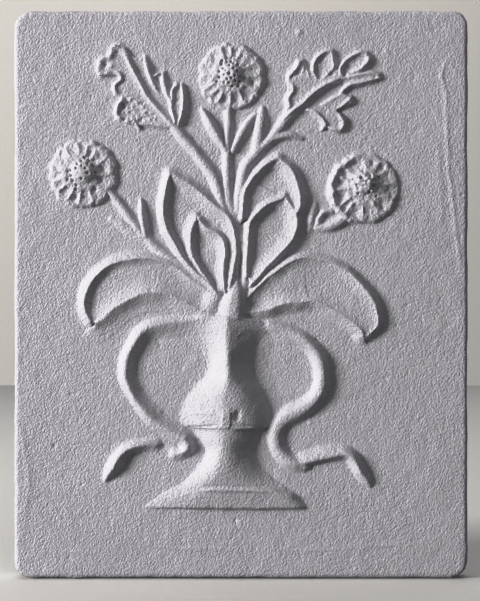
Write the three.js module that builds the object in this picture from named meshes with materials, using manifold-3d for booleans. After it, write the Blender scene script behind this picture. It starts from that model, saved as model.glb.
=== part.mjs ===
// Pargetted panel: a slab of lime plaster with a two-handled vase of flowers raised on its face by hand.
// Millimetres, +Z up. The face looks towards -Y, and the origin is at the middle of the flat back.
import * as THREE from "three";
import { mergeVertices } from "three/addons/utils/BufferGeometryUtils.js";
import Module from "manifold-3d";

const wasm = await Module();
wasm.setup();

// Slab
const panelWidth = 320;
const panelHeight = 400;
const panelThickness = 22;
const topLeftRadius = 9.5;
const topRightRadius = 7.5;
const bottomRightRadius = 9.5;
const bottomLeftRadius = 7;
const faceEdgeRound = 4.5;

// The drawing on the face: u runs right from the vase's axis, v runs up from the underside of its foot.
const vaseOffset = -8.5;
const footMargin = 50;
const topMargin = 23;
const drawnHeight = 327;
const drawingScale = (panelHeight - footMargin - topMargin) / drawnHeight;

// How far the modelling stands off the face
const vaseHeight = 13.5;
const tabStep = 0.8;
const rimHeight = 10;
const budHeight = 10;
const handleHeight = 6.5;
const tailHeight = 6;
const stemHeight = 5;
const sprigHeight = 4.5;
const leafHeight = 6;
const leafFloor = 1.6;
const lobeHeight = 4.6;
const lobeFloor = 1.8;
const webHeight = 1.8;
const petalHeight = 6;
const petalFloor = 2.5;
const domeHeight = 10;

// The modelling is keyed into the slab by this much, and its edges dip under the face.
const keyDepth = 3;
const edgeDip = 0.6;

const arcSteps = 4;
const edgeSteps = 3;

// Outline of the slab, going round from its lower left corner, inset by a distance.

function slabOutline(inset) {
  const halfWidth = panelWidth / 2;
  const halfHeight = panelHeight / 2;
  const corners = [
    { x: -halfWidth, y: -halfHeight, radius: bottomLeftRadius, start: Math.PI },
    { x: halfWidth, y: -halfHeight, radius: bottomRightRadius, start: 1.5 * Math.PI },
    { x: halfWidth, y: halfHeight, radius: topRightRadius, start: 0 },
    { x: -halfWidth, y: halfHeight, radius: topLeftRadius, start: 0.5 * Math.PI },
  ];
  return corners.flatMap(({ x, y, radius, start }) => {
    const centreX = x - Math.sign(x) * radius;
    const centreY = y - Math.sign(y) * radius;
    const points = [];
    for (let i = 0; i <= arcSteps; i++) {
      const angle = start + ((i / arcSteps) * Math.PI) / 2;
      const reach = radius - inset;
      points.push([centreX + reach * Math.cos(angle), centreY + reach * Math.sin(angle)]);
    }
    return points;
  });
}

// A closed skin over a row of rings with equal numbers of points, each end closed round one point.
function skin(rings, firstCentre, lastCentre) {
  const around = rings[0].length;
  const positions = rings.flat().concat([firstCentre, lastCentre]);
  const first = rings.length * around;
  const triangles = [];
  for (let i = 0; i < around; i++) {
    const next = (i + 1) % around;
    triangles.push([first, next, i]);
    for (let j = 0; j + 1 < rings.length; j++) {
      const low = j * around;
      const high = low + around;
      triangles.push([low + i, low + next, high + next], [low + i, high + next, high + i]);
    }
    const top = (rings.length - 1) * around;
    triangles.push([first + 1, top + i, top + next]);
  }
  return solidOf(positions, triangles);
}

function solidOf(positions, triangles) {
  const geometry = new THREE.BufferGeometry();
  geometry.setAttribute("position", new THREE.Float32BufferAttribute(positions.flat(), 3));
  geometry.setIndex(triangles.flat());
  const merged = mergeVertices(geometry, 1e-4);
  const vertProperties = merged.getAttribute("position").array;
  const build = (triVerts) => new wasm.Manifold(new wasm.Mesh({ numProp: 3, vertProperties, triVerts }));
  const triVerts = new Uint32Array(merged.index.array);
  const solid = build(triVerts);
  if (solid.volume() > 0) return solid;
  return build(triVerts.reverse());
}

function smoothCurve(points) {
  const vectors = points.map(([x, y, z = 0]) => new THREE.Vector3(x, y, z));
  return new THREE.CatmullRomCurve3(vectors, false, "centripetal");
}

function slab() {
  const rings = [slabOutline(0).map(([x, y]) => [x, y, -panelThickness])];
  for (let i = 0; i <= edgeSteps; i++) {
    const angle = ((i / edgeSteps) * Math.PI) / 2;
    const inset = faceEdgeRound * (1 - Math.cos(angle));
    const depth = faceEdgeRound * (1 - Math.sin(angle));
    rings.push(slabOutline(inset).map(([x, y]) => [x, y, -depth]));
  }
  return skin(rings, [0, 0, -panelThickness], [0, 0, 0]);
}

// Places a point of the drawing on the face, where the panel's middle is at 0, 0.
function onFace(u, v, height) {
  const x = vaseOffset + u * drawingScale;
  const y = footMargin - panelHeight / 2 + v * drawingScale;
  return [x, y, height];
}

// Sides of a ridge, from its edge up to its crest, as shares of the side's width and of the height.
const strapSide = [[0.6, 0.75]];
const bellySide = [[0.88, 0.38], [0.62, 0.74], [0.3, 0.93]];
const tabSide = [[0.85, 0.97]];

// A ridge of modelling. Each row gives a point of its crest, the widths of its two sides, left and right
// along its run, and its height.

function ridge(rows, { side = strapSide, stepsPerSpan = 2 } = {}) {
  const crest = smoothCurve(rows.map(([u, v]) => [u, v]));
  const sizes = smoothCurve(rows.map(([, , left, right, height]) => [left, right, height]));
  const steps = (rows.length - 1) * stepsPerSpan;
  const rings = [];
  const middles = [];
  for (let i = 0; i <= steps; i++) {
    const point = crest.getPoint(i / steps);
    const run = crest.getTangent(i / steps);
    const { x: left, y: right, z: height } = sizes.getPoint(i / steps);
    const across = (distance, rise) => onFace(point.x - run.y * distance, point.y + run.x * distance, rise);
    rings.push([
      across(left, -keyDepth),
      across(left, -edgeDip),
      ...side.map(([at, rise]) => across(left * at, height * rise)),
      across(0, height),
      ...side.toReversed().map(([at, rise]) => across(-right * at, height * rise)),
      across(-right, -edgeDip),
      across(-right, -keyDepth),
    ]);
    middles.push(across((left - right) / 2, -keyDepth));
  }
  return skin(rings, middles[0], middles[steps]);
}

// Rows for a ridge that tapers evenly, from its start to its end, and has two like sides.
function taperedRows(points, { startWidth, endWidth, startHeight, endHeight }) {
  return points.map(([u, v], i) => {
    const share = i / (points.length - 1);
    const halfWidth = THREE.MathUtils.lerp(startWidth, endWidth, share) / 2;
    return [u, v, halfWidth, halfWidth, THREE.MathUtils.lerp(startHeight, endHeight, share)];
  });
}

// A leaf pressed hollow between two crests that run from its base to its tip. The slopes are the widths of
// the outer and inner sides of the left crest and the inner and outer sides of the right one. Where the
// crests come close there is no room for the floor, and it rises to them. They fall towards the tip.
const leastFloor = 1;
const tipFall = 0.35;

function hollowLeaf({ left, right, slopes, height = leafHeight, floor = leafFloor, steps = 9 }) {
  const [leftOuter, leftInner, rightInner, rightOuter] = slopes;
  const leftCrest = smoothCurve(left);
  const rightCrest = smoothCurve(right);
  const rings = [];
  const middles = [];
  for (let i = 0; i <= steps; i++) {
    const share = i / steps;
    const from = leftCrest.getPointAt(share);
    const to = rightCrest.getPointAt(share);
    const gap = from.distanceTo(to);
    const out = from.clone().sub(to).divideScalar(gap);
    const open = Math.min(1, gap / (leftInner + rightInner + leastFloor));
    const crestRise = height * (1 - tipFall * share * share);
    const floorRise = Math.min(THREE.MathUtils.lerp(height, floor, open), crestRise);
    const beyondLeft = (distance, rise) => onFace(from.x + out.x * distance, from.y + out.y * distance, rise);
    const beyondRight = (distance, rise) => onFace(to.x - out.x * distance, to.y - out.y * distance, rise);
    rings.push([
      beyondLeft(leftOuter, -keyDepth),
      beyondLeft(leftOuter, -edgeDip),
      beyondLeft(0, crestRise),
      beyondLeft(-leftInner * open, floorRise),
      beyondRight(-rightInner * open, floorRise),
      beyondRight(0, crestRise),
      beyondRight(rightOuter, -edgeDip),
      beyondRight(rightOuter, -keyDepth),
    ]);
    middles.push(onFace((from.x + to.x) / 2, (from.y + to.y) / 2, -keyDepth));
  }
  return skin(rings, middles[0], middles[steps]);
}

// Rows whose last value is a share of a height.
function scaledRows(rows, height) {
  return rows.map(([u, v, left, right, share]) => [u, v, left, right, share * height]);
}

// A hollow lobe with a round tip, from its base to its tip, as a leaf with two like crests.
const lobeRim = 1.6;

function lobe([baseU, baseV, tipU, tipV, width]) {
  const length = Math.hypot(tipU - baseU, tipV - baseV);
  const run = [(tipU - baseU) / length, (tipV - baseV) / length];
  const crest = (side) =>
    [
      [0, 0.2],
      [0.35, 0.75],
      [0.75, 1],
      [1, 0.3],
    ].map(([along, share]) => {
      const out = (side * share * (width - 2 * lobeRim)) / 2;
      return [baseU + run[0] * length * along - run[1] * out, baseV + run[1] * length * along + run[0] * out];
    });
  return hollowLeaf({
    left: crest(1),
    right: crest(-1),
    slopes: [lobeRim, lobeRim, lobeRim, lobeRim],
    height: lobeHeight,
    floor: lobeFloor,
    steps: 4,
  });
}

// Vase: the spreading foot and stem, the body that laps over them, the rim and the bud on it.
function vase() {
  const foot = [
    [0, 0, 57, 55.5, 0.5],
    [0, 10, 45, 44, 0.6],
    [0, 12.5, 39.5, 39, 0.57],
    [0, 17, 33, 33, 0.63],
    [-1, 23, 25, 27, 0.7],
    [-1, 29, 20.5, 22.5, 0.77],
    [-1, 36, 16.5, 18.5, 0.83],
    [-1, 42, 15.7, 17.7, 0.87],
    [-1, 48, 17.7, 19.7, 0.88],
    [-1, 58, 22, 23.5, 0.88],
  ];
  const body = [
    [-1, 56.5, 28.5, 29, 0.93],
    [-1, 62, 30.5, 29.5, 0.97],
    [-1, 70, 30, 28.5, 1],
    [-1.5, 78, 26.5, 25.5, 1],
    [-2, 85, 21.5, 23, 1],
    [-2, 92, 16.5, 20, 0.97],
    [-2, 100, 14.8, 18.5, 0.93],
    [-2, 109, 15.8, 19.5, 0.93],
    [-2, 117, 18.3, 22, 0.9],
    [-1, 124, 24, 26, 0.85],
    [0, 133, 30, 30, 0.7],
  ];
  const tab = [
    [0.5, 58.5, 7, 7, 0.97],
    [0.5, 66, 7, 7, 1],
    [0.5, 71, 4, 4, 0.97],
  ];
  const rim = [
    [-40, 130, 6, 5, 0.5],
    [-26, 130, 7, 6, 0.72],
    [-10, 129.5, 8, 6.5, 0.95],
    [4, 129, 8, 6.5, 1],
    [20, 128, 7, 6, 0.75],
    [37, 127, 6, 5, 0.5],
  ];
  const bud = [
    [2, 131, 9, 9, 0.9],
    [3, 140, 10.5, 9.5, 1],
    [4.5, 149, 8, 7.5, 0.95],
    [5, 158, 2.5, 2.5, 0.5],
  ];
  return [
    ridge(scaledRows(foot, vaseHeight), { side: bellySide, stepsPerSpan: 1 }),
    ridge(scaledRows(body, vaseHeight), { side: bellySide, stepsPerSpan: 1 }),
    ridge(scaledRows(tab, vaseHeight + tabStep), { side: tabSide, stepsPerSpan: 1 }),
    ridge(scaledRows(rim, rimHeight)),
    ridge(scaledRows(bud, budHeight), { side: bellySide }),
  ];
}

// Handles: each sweeps out from the rim, down and in, curls at its foot and ends in a tail of its own.
function handles() {
  const leftHandle = [
    [-28, 129, 5, 5, 0.8],
    [-45, 127.5, 5, 5, 0.9],
    [-56, 124, 5, 6, 1],
    [-65, 117, 5, 6.5, 1],
    [-71.5, 108, 5, 6.5, 1],
    [-74, 97, 5, 6, 1],
    [-73, 87, 5, 5.5, 1],
    [-68.5, 78, 5.5, 5, 0.95],
    [-61, 68.5, 6, 5, 0.85],
    [-52, 60, 6.5, 5.5, 0.7],
    [-43, 54, 6, 6, 0.7],
    [-36, 49.5, 5, 6, 0.8],
    [-33, 43.5, 4, 5, 0.85],
    [-36, 38, 4, 4.5, 0.8],
    [-45, 36, 5, 4, 0.6],
  ];
  const leftTail = [
    [-50, 39, 4, 4, 0.6],
    [-60, 41, 4, 4, 0.8],
    [-68, 40, 4, 5, 1],
    [-75, 35.5, 4, 5.5, 1],
    [-80, 29, 4, 5.5, 1],
    [-84, 22.5, 3, 4, 0.7],
    [-86.5, 18.5, 1.2, 1.5, 0.3],
  ];
  const rightHandle = [
    [30, 128, 5, 5, 0.7],
    [45, 125.5, 4.5, 6, 0.8],
    [54.5, 119.5, 4, 7, 0.9],
    [61.5, 111, 4, 7.5, 1],
    [66, 101.5, 4, 8, 1],
    [67.3, 93, 4, 8.5, 1],
    [65.5, 83.5, 4, 8.5, 1],
    [60.5, 74.5, 4, 8.5, 1],
    [52, 66.5, 3.5, 8, 0.95],
    [42.5, 60.5, 3.5, 7.5, 0.9],
    [35.5, 54, 3.5, 7.5, 0.9],
    [34.3, 47.5, 3.5, 7.5, 0.9],
    [38, 40.5, 4, 7, 0.85],
    [44.5, 34.5, 4, 7, 0.8],
    [51, 30, 4, 6, 0.7],
  ];
  const rightTail = [
    [48, 30.5, 5, 3, 0.6],
    [58, 32, 7, 3, 0.8],
    [68, 34, 7.5, 3, 0.9],
    [78, 36.5, 6, 3.5, 1],
    [86, 36, 4.5, 4.5, 1],
    [91.5, 30.5, 4, 5, 1],
    [95.5, 23.5, 3.5, 4, 0.8],
    [98.5, 16, 1.2, 1.5, 0.35],
  ];
  return [
    ridge(scaledRows(leftHandle, handleHeight)),
    ridge(scaledRows(leftTail, tailHeight)),
    ridge(scaledRows(rightHandle, handleHeight)),
    ridge(scaledRows(rightTail, tailHeight)),
  ];
}

// Stems from their tips down, each as the points of its crest with an even taper.
function stems() {
  const taper = { startWidth: 4, endWidth: 7.5, startHeight: 0.7 * stemHeight, endHeight: stemHeight };
  const middle = [[0, 284], [-1, 262], [-1.5, 240], [-0.5, 218], [4, 203], [9, 187], [12, 168], [9, 148]];
  const leftSpray = [
    [-74, 322], [-67.6, 306.6], [-60.4, 294], [-52, 283], [-42, 272.5],
    [-32, 260], [-20, 246], [-11, 233], [-2, 206],
  ];
  const rightSpray = [
    [87, 303], [73.7, 299.7], [57.7, 289], [41.7, 275.7],
    [28, 261], [15.8, 246.6], [8.8, 232], [6, 208],
  ];
  const leftFlower = [[-83, 221], [-75, 211], [-62, 194], [-49.7, 182], [-38, 173], [-20, 160], [-8, 150]];
  return [middle, leftSpray, rightSpray, leftFlower].map((points) => ridge(taperedRows(points, taper)));
}

// Narrow leaves on the stems, each from its base to its tip.
function sprigs() {
  const rows = [
    [[-3, 252, 2, 2, 0.8], [-9, 263, 3.5, 2.5, 1], [-14, 272, 3.5, 2.5, 1], [-19, 280, 1, 1, 0.5]],
    [[3, 251, 2, 2, 0.8], [8, 262, 2.5, 2, 1], [13, 270, 2.5, 2, 1], [19.5, 277, 1, 1, 0.4]],
    [[19, 252, 2, 2, 0.8], [21.5, 263, 3, 3, 1], [22.5, 272, 3, 3, 1], [23, 280, 1.2, 1.2, 0.5]],
    [[22, 252, 2, 2, 0.8], [32, 260, 2.5, 2.5, 1], [42, 263.5, 2.5, 2.5, 0.9], [53, 261, 1, 1, 0.3]],
    [[-59, 192, 2, 2, 0.8], [-60.5, 205, 2.5, 2.5, 1], [-62, 216, 1, 1, 0.5]],
    [[-62, 191, 3, 3, 0.5], [-73, 198, 3.5, 3.5, 0.5], [-83, 203, 1.5, 1.5, 0.3]],
    [[55, 198, 2, 2, 0.5], [57, 206, 3, 3, 0.7], [59, 214, 1.5, 1.5, 0.5]],
    [[58, 195, 2, 2, 0.6], [65, 206, 3, 3, 0.9], [71, 212, 2, 2, 0.8]],
    [[66, 201, 3, 3, 0.8], [74, 200, 4, 4, 1], [82, 206, 4, 3, 1]],
  ];
  return rows.map((row) => ridge(scaledRows(row, sprigHeight)));
}

// Leaves round the stems, each from its base to its tip.
function leaves() {
  return [
    hollowLeaf({
      left: [[-10, 153], [-27, 164.6], [-36, 178], [-42.5, 191], [-47.5, 207], [-47, 226], [-43, 238]],
      right: [
        [0, 153], [6.7, 169], [7, 181], [3.5, 195.6],
        [-5, 209.5], [-18, 222], [-32, 231.7], [-40, 237.5],
      ],
      slopes: [3, 3.5, 7, 4],
    }),
    hollowLeaf({
      left: [[-10, 152], [-20, 169], [-25.5, 181], [-27.5, 194], [-25, 205]],
      right: [[-3.4, 152], [-2, 174], [-4.2, 187], [-14, 195.6], [-21.5, 203.5]],
      slopes: [2.5, 3, 3, 2.5],
    }),
    hollowLeaf({
      left: [[9, 203], [11, 221], [15, 232.6], [25, 241.7], [36, 246]],
      right: [[30, 200], [48, 209], [51, 219], [48, 232], [39.5, 243.5]],
      slopes: [2, 3, 4, 3],
    }),
    hollowLeaf({
      left: [[13, 165], [13.7, 188.5], [17, 202], [28.4, 213], [38, 220]],
      right: [[16, 156], [29.8, 176.6], [44.5, 189], [48.3, 200], [44.5, 211.6], [40, 218]],
      slopes: [3, 3, 4, 3.5],
    }),
    hollowLeaf({
      left: [
        [-8, 145], [-26, 159.6], [-39.6, 171.6], [-60, 175],
        [-80, 172.5], [-95, 162.5], [-101.8, 149], [-98, 132],
      ],
      right: [[-8, 137], [-26, 140.4], [-40, 149], [-60, 150.5], [-74, 144.4], [-86, 135], [-94.5, 130]],
      slopes: [3.5, 4, 9, 3],
      steps: 12,
    }),
    hollowLeaf({
      left: [
        [12, 147], [28, 164], [44, 174], [56, 177], [72, 171],
        [87, 161], [99, 148.4], [105, 135], [97, 122],
      ],
      right: [[12, 137], [33.4, 138.8], [47, 142], [59, 146.4], [70, 139], [83, 129], [93.5, 121]],
      slopes: [3, 4, 6, 7],
      steps: 12,
    }),
  ];
}

// Leafy sprays: hollow lobes along each side of the two outer stems, on a low web that joins them.
function sprays() {
  const webs = [
    {
      left: [[-48, 268], [-66, 272], [-75, 284], [-76, 298], [-83, 308], [-79, 322]],
      right: [[-38, 270], [-41, 288], [-50, 298], [-58, 310], [-73, 324]],
    },
    {
      left: [[40, 276], [44, 298], [52, 307], [66, 315], [84, 311], [98, 313]],
      right: [[48, 272], [68, 272], [78, 283], [84, 295], [92, 299], [104, 303]],
    },
  ];
  const webForm = { slopes: [2, 2, 2, 2], height: webHeight, floor: webHeight, steps: 5 };
  const left = [
    [-73, 316, -81, 327, 7],
    [-72, 318, -75, 328, 5],
    [-76, 310, -94, 313.5, 13],
    [-62, 299, -82, 293, 11],
    [-57, 289, -79, 275, 12],
    [-52, 281, -65, 267, 9],
    [-46, 274, -60, 270, 6],
    [-66, 303, -58, 318, 8],
    [-54, 285, -46, 307, 9],
    [-43, 271, -34, 298, 9],
  ];
  const right = [
    [43, 276, 42, 301, 10],
    [51, 285, 48, 314, 10],
    [56, 290, 57, 308, 6],
    [65, 296, 69, 321, 13],
    [78, 301, 97, 317, 12],
    [83, 301, 107, 303, 8],
    [60, 284, 85, 297, 6],
    [57, 281, 86, 286, 7],
    [58, 275, 81, 268, 7],
    [44, 276, 66, 268, 7],
  ];
  return [
    ...webs.map((web) => hollowLeaf({ ...web, ...webForm })),
    ...[...left, ...right].map(lobe),
  ];
}

// A flower: a dome inside a ring of hollow petals, with ridges between them and a rim that joins them.
function flower({ u, v, radius, domeRadius, petals, turn }) {
  const samplesPerPetal = 4;
  const hollow = (i) => (1 - Math.cos((i / samplesPerPetal) * 2 * Math.PI)) / 2;
  const between = (onRidge, inHollow) => (i) => THREE.MathUtils.lerp(onRidge, inHollow, hollow(i));
  const always = (value) => () => value;
  const edge = between(radius * 0.94, radius);
  const rings = [
    { reach: always(domeRadius * 0.65), rise: always(domeHeight * 0.84) },
    { reach: always(domeRadius + 1), rise: between(petalHeight * 0.75, petalFloor) },
    { reach: always(radius * 0.72), rise: between(petalHeight * 0.95, petalFloor) },
    { reach: between(radius * 0.86, radius * 0.9), rise: always(petalHeight) },
    { reach: edge, rise: always(-edgeDip) },
    { reach: edge, rise: always(-keyDepth) },
  ].map(({ reach, rise }) =>
    Array.from({ length: petals * samplesPerPetal }, (unused, i) => {
      const angle = turn + (i / (petals * samplesPerPetal)) * 2 * Math.PI;
      return onFace(u + reach(i) * Math.cos(angle), v + reach(i) * Math.sin(angle), rise(i));
    }),
  );
  return skin(rings, onFace(u, v, domeHeight), onFace(u, v, -keyDepth));
}

function flowers() {
  return [
    { u: -102.5, v: 235, radius: 24.7, domeRadius: 13, petals: 15, turn: 0.05 },
    { u: 2.2, v: 303.2, radius: 23.8, domeRadius: 12, petals: 13, turn: 0.1 },
    { u: 94.5, v: 224.5, radius: 25.5, domeRadius: 12.5, petals: 14, turn: 0 },
  ].map(flower);
}

const plaster = new THREE.MeshStandardMaterial({ color: 0xd8d8dc, roughness: 0.95, metalness: 0 });

function partMesh(name, solid) {
  const { vertProperties, triVerts } = solid.getMesh();
  const geometry = new THREE.BufferGeometry();
  geometry.setAttribute("position", new THREE.BufferAttribute(vertProperties, 3));
  geometry.setIndex(new THREE.BufferAttribute(triVerts, 1));
  geometry.translate(0, 0, panelThickness);
  geometry.rotateX(Math.PI / 2);
  geometry.computeVertexNormals();
  const mesh = new THREE.Mesh(geometry, plaster);
  mesh.name = name;
  return mesh;
}

const modelling = [...vase(), ...handles(), ...stems(), ...sprigs(), ...leaves(), ...sprays(), ...flowers()];
const panelSolid = modelling.reduce((whole, piece) => whole.add(piece), slab());
const panel = new THREE.Group();
panel.add(partMesh("pargetted_panel", panelSolid));
export default panel;
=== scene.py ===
# Pargetted panel: lime plaster modelled wet on its own slab, lit across its face.
# Sizes are millimetres. On the face, u runs to the right of the vase's axis and v up from its foot.
import math

import bpy
import numpy as np
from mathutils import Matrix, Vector


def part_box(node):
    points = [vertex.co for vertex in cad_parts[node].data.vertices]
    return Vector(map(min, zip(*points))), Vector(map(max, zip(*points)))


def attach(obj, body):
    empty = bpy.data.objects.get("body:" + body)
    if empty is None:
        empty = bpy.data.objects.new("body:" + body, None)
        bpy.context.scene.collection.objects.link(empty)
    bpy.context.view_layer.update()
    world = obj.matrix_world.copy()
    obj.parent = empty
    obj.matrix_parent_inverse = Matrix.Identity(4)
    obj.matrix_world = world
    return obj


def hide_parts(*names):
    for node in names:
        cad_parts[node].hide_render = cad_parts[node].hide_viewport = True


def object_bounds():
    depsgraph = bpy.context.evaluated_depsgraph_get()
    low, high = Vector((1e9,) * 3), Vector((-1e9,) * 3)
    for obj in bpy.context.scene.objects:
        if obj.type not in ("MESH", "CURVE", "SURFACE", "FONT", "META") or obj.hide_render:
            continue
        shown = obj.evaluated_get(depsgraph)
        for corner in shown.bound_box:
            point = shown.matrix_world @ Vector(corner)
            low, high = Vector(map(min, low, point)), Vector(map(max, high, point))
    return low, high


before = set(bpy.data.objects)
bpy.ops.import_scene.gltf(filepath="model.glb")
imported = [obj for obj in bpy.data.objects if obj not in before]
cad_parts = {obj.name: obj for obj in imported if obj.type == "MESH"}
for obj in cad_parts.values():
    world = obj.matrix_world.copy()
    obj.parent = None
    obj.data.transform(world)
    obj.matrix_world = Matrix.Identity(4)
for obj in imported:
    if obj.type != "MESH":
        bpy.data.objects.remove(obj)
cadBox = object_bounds()
slabLow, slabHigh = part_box("pargetted_panel")
print("frame loaded:", len(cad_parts), "node", [round(v, 4) for v in slabHigh - slabLow], "m")
bpy.ops.object.select_all(action="DESELECT")

mm = 0.001
panelWidth = (slabHigh.x - slabLow.x) / mm
panelHeight = (slabHigh.z - slabLow.z) / mm

slab = {
    "thickness": 22,
    "cornerRadii": {"topLeft": 12.5, "topRight": 10, "bottomRight": 12.5, "bottomLeft": 11},
    "edgeRound": 3.4,
    "sideSteps": 6,
    "edgeWobble": 0.55,  # how far the sides wander, as the mould was of rough boards
    "wobble": (0.6, 16),  # shares of it, and their grains
    "tremble": (0.4, 5),
    "wobbleReach": 9,  # how far in from the side the face goes with them
    "spacing": 0.62,  # of the face's vertices before they are thinned
    "mostTriangles": 190000,
}
drawing = {
    "vaseOffset": -8.5,  # of the vase's axis from the middle of the panel
    "footMargin": 50,  # from the panel's lower edge to the vase's foot
    # a hand's broad wander and its fine shake, by which no form is quite as drawn: how far, and the grain
    "wander": (0.5, 11),
    "shake": (0.22, 4),
}
# every random draw has its own seed, so that the panel comes out the same on every run
seeds = {
    "wander": 1,
    "drift": 3,
    "ground": 21,
    "pits": 24,
    "sides": 31,
    "crinkle": 41,
    "lumps": 42,
    "ragged": 43,
    "rough": 44,
}
noiseStart = 500  # keeps every place on the lattices above zero


# Smooth noise of a given grain, the same on every run
def softNoise(u, v, grain, seed):
    x = (u + noiseStart) / grain
    y = (v + noiseStart) / grain
    lattice = np.random.RandomState(seed).uniform(-1, 1, (int(x.max()) + 3, int(y.max()) + 3))
    i = np.floor(x).astype(int)
    j = np.floor(y).astype(int)
    a = x - i
    b = y - j
    a = a * a * (3 - 2 * a)
    b = b * b * (3 - 2 * b)
    low = lattice[i, j] * (1 - a) + lattice[i + 1, j] * a
    high = lattice[i, j + 1] * (1 - a) + lattice[i + 1, j + 1] * a
    return low * (1 - b) + high * b


# A broad and a fine noise together, each with how far it goes and its grain
def twoGrains(u, v, broad, fine, seed):
    return softNoise(u, v, broad[1], seed) * broad[0] + softNoise(u, v, fine[1], seed + 1) * fine[0]


# A smooth run through rows of values, whose first two are a place
def smoothRows(rows, spacing=0.9):
    rows = np.array(rows, float)
    reach = np.linalg.norm(np.diff(rows[:, :2], axis=0), axis=1)
    knots = np.concatenate([[0], np.cumsum(np.sqrt(reach))])
    slopes = np.gradient(rows, knots, axis=0)
    count = max(8, int(reach.sum() / spacing))
    t = np.linspace(knots[0], knots[-1], count)
    i = np.clip(np.searchsorted(knots, t) - 1, 0, len(rows) - 2)
    span = knots[i + 1] - knots[i]
    x = ((t - knots[i]) / span)[:, None]
    span = span[:, None]
    return (
        rows[i] * (2 * x**3 - 3 * x**2 + 1)
        + slopes[i] * span * (x**3 - 2 * x**2 + x)
        + rows[i + 1] * (3 * x**2 - 2 * x**3)
        + slopes[i + 1] * span * (x**3 - x**2)
    )


def readPlaces(piece):
    places = np.empty(len(piece.data.vertices) * 3, np.float64)
    piece.data.vertices.foreach_get("co", places)
    return places.reshape(-1, 3)


def writePlaces(piece, places):
    piece.data.vertices.foreach_set("co", places.ravel())
    piece.data.update()


# The sheet of plaster: a grid a little larger than the face, whose rim wraps round the front edge.
def laySheet():
    wrap = slab["edgeRound"] * (math.pi / 2 - 1)
    width = panelWidth + 2 * wrap
    height = panelHeight + 2 * wrap
    across = int(width / slab["spacing"])
    up = int(height / slab["spacing"])
    bpy.ops.mesh.primitive_grid_add(x_subdivisions=across, y_subdivisions=up, size=1)
    sheet = bpy.context.object
    sheet.name = "pargetted_panel_plaster"
    flat = readPlaces(sheet)
    return sheet, flat[:, 0] * width, flat[:, 1] * height


# The height left on a slope, by the share of its width. A fullness of 1 is a plane slope, more is a rounded
# shoulder and less is a hollow one.
def slopeHeight(share, fullness):
    share = np.clip(share, 0, 1)
    rounded = 1 - share ** np.maximum(fullness, 1)
    hollow = (1 - share) ** (1 / np.minimum(fullness, 1))
    return np.where(fullness >= 1, rounded, hollow)


# The face while it is modelled: the places of its vertices and their heights
face = {}
leastWidth = 0.4  # of a slope
runOff = 1.6  # how steeply a form goes on down past its foot, so that its fillet fades out
cutOff = 3  # how steeply the vase ends at its top and a flower at its edge
pushReach = 2.2  # how many times its radius a push or a score reaches
scoreEnd = 0.15  # the least share of its height that a score keeps towards its ends


# Adds a form with a soft fillet where it meets what is there
def addForm(where, height, fillet):
    old = face["height"][where]
    near = np.clip(fillet - np.abs(old - height), 0, None)
    face["height"][where] = np.maximum(old, height) + near * near / (4 * fillet)


def nearBox(low, high, reach):
    u = face["u"]
    v = face["v"]
    inside = (u > low[0] - reach) & (u < high[0] + reach) & (v > low[1] - reach) & (v < high[1] + reach)
    return np.nonzero(inside)[0]


# For each place, how far it is from a run, on which side, and the run's values there
def alongRun(run, where):
    u = face["u"][where].astype(np.float32)
    v = face["v"][where].astype(np.float32)
    start = run[:-1].astype(np.float32)
    step = np.diff(run, axis=0).astype(np.float32)
    length = np.maximum((step[:, :2] ** 2).sum(1), 1e-9)
    best = np.full(len(u), 1e9, np.float32)
    side = np.zeros(len(u), np.float32)
    values = np.zeros((len(u), run.shape[1]), np.float32)
    place = np.zeros(len(u), np.float32)
    for k in range(len(start)):
        du = u - start[k, 0]
        dv = v - start[k, 1]
        share = np.clip((du * step[k, 0] + dv * step[k, 1]) / length[k], 0, 1)
        gap = (du - share * step[k, 0]) ** 2 + (dv - share * step[k, 1]) ** 2
        closer = gap < best
        best[closer] = gap[closer]
        side[closer] = (step[k, 0] * dv - step[k, 1] * du)[closer]
        values[closer] = start[k] + share[closer, None] * step[k]
        place[closer] = (k + share[closer]) / len(start)
    return np.sqrt(best), side > 0, values, place


# A ridge of plaster. Each row gives a point of its crest, the widths of its slopes on the left and right of
# its run, and its share of the height. Its top is rounded over the half width that crest gives.
def ridge(rows, height, fullLeft=1.3, fullRight=1.3, fillet=1.6, crest=0.5):
    run = smoothRows([[*row[:4], row[4] * height] for row in rows])
    widest = run[:, 2:4].max() + fillet
    where = nearBox(run[:, :2].min(0), run[:, :2].max(0), widest + 1)
    gap, onLeft, values, _ = alongRun(run, where)
    width = np.maximum(np.where(onLeft, values[:, 2], values[:, 3]), leastWidth)
    soft = np.sqrt(gap**2 + crest**2) - crest
    share = soft / width
    fullness = np.where(onLeft, fullLeft, fullRight)
    rise = values[:, 4] * slopeHeight(share, fullness)
    rise = np.where(share < 1, rise, -runOff * (soft - width))
    addForm(where, rise, fillet)


def insideOutline(outline, where):
    u = face["u"][where]
    v = face["v"][where]
    inside = np.zeros(len(u), bool)
    for a, b in zip(outline, np.roll(outline, -1, axis=0)):
        if a[1] == b[1]:
            continue
        crosses = (a[1] > v) != (b[1] > v)
        inside ^= crosses & (u < (b[0] - a[0]) * (v - a[1]) / (b[1] - a[1]) + a[0])
    return inside


# Fills an outline to a height
def fill(outline, height, fillet):
    where = nearBox(outline.min(0), outline.max(0), 1)
    where = where[insideOutline(outline, where)]
    addForm(where, np.full(len(where), float(height)), fillet)


# A round push of a finger or tool, out of the face or into it
def push(u, v, radius, height):
    where = nearBox(np.array([u, v]), np.array([u, v]), radius * pushReach)
    gap = np.hypot(face["u"][where] - u, face["v"][where] - v)
    face["height"][where] += height * np.exp(-((gap / radius) ** 2))


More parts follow.
